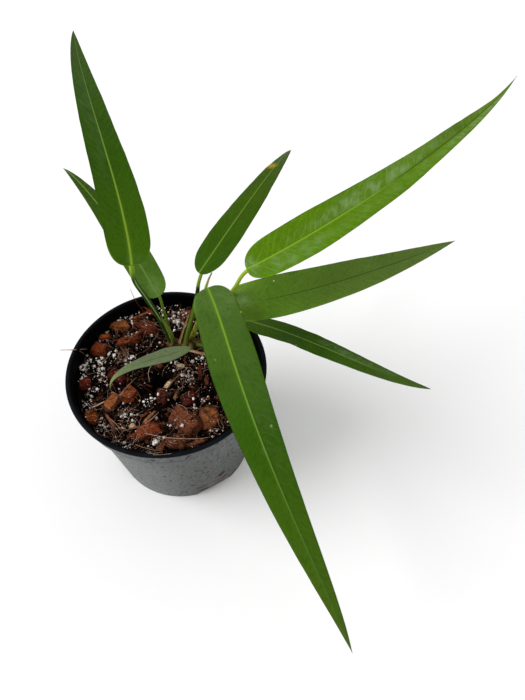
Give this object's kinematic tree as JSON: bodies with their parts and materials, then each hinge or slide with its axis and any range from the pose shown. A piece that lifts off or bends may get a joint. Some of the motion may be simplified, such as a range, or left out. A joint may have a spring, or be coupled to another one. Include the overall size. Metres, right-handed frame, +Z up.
{
  "type": "potted anthurium debilipeltatum",
  "caption": "Strap-leaved anthurium in a round plastic nursery pot: long narrow leaves on thin stalks rise and arch from a creeping rhizome in an open mix of peat, coconut husk and perlite.",
  "frame": {"origin": "centre of the pot's flat base", "axes": "+Z up from the flat base; -Y is the side that the picture is taken from, and +X is to its right; the rim's centre stands 2.7 mm to -X of the base's"},
  "size_m": [0.2706, 0.2954, 0.223],
  "materials": {
    "pot": "matte",
    "potting_mix": "matte",
    "rhizome": "matte",
    "blade": "satin",
    "young_blade": "gloss",
    "dull_blade": "matte",
    "stalk": "satin",
    "green_sheath": "matte",
    "brown_sheath": "matte",
    "new_shoot": "satin"
  },
  "bodies": {
    "root": {"pot": "pot", "potting_mix": "potting_mix", "rhizome": "rhizome", "leaf_1_stalk": "stalk", "leaf_1_blade": "blade", "leaf_2_stalk": "stalk", "leaf_2_blade": "blade", "leaf_3_stalk": "stalk", "leaf_3_blade": "blade", "leaf_4_stalk": "stalk", "leaf_4_blade": "young_blade", "leaf_5_stalk": "stalk", "leaf_5_blade": "blade", "leaf_6_stalk": "stalk", "leaf_6_blade": "blade", "leaf_7_stalk": "stalk", "leaf_7_blade": "blade", "leaf_8_stalk": "stalk", "leaf_8_blade": "dull_blade", "leaf_1_sheath": "green_sheath", "leaf_3_sheath": "brown_sheath", "new_shoot": "new_shoot"}
  },
  "joints": []
}
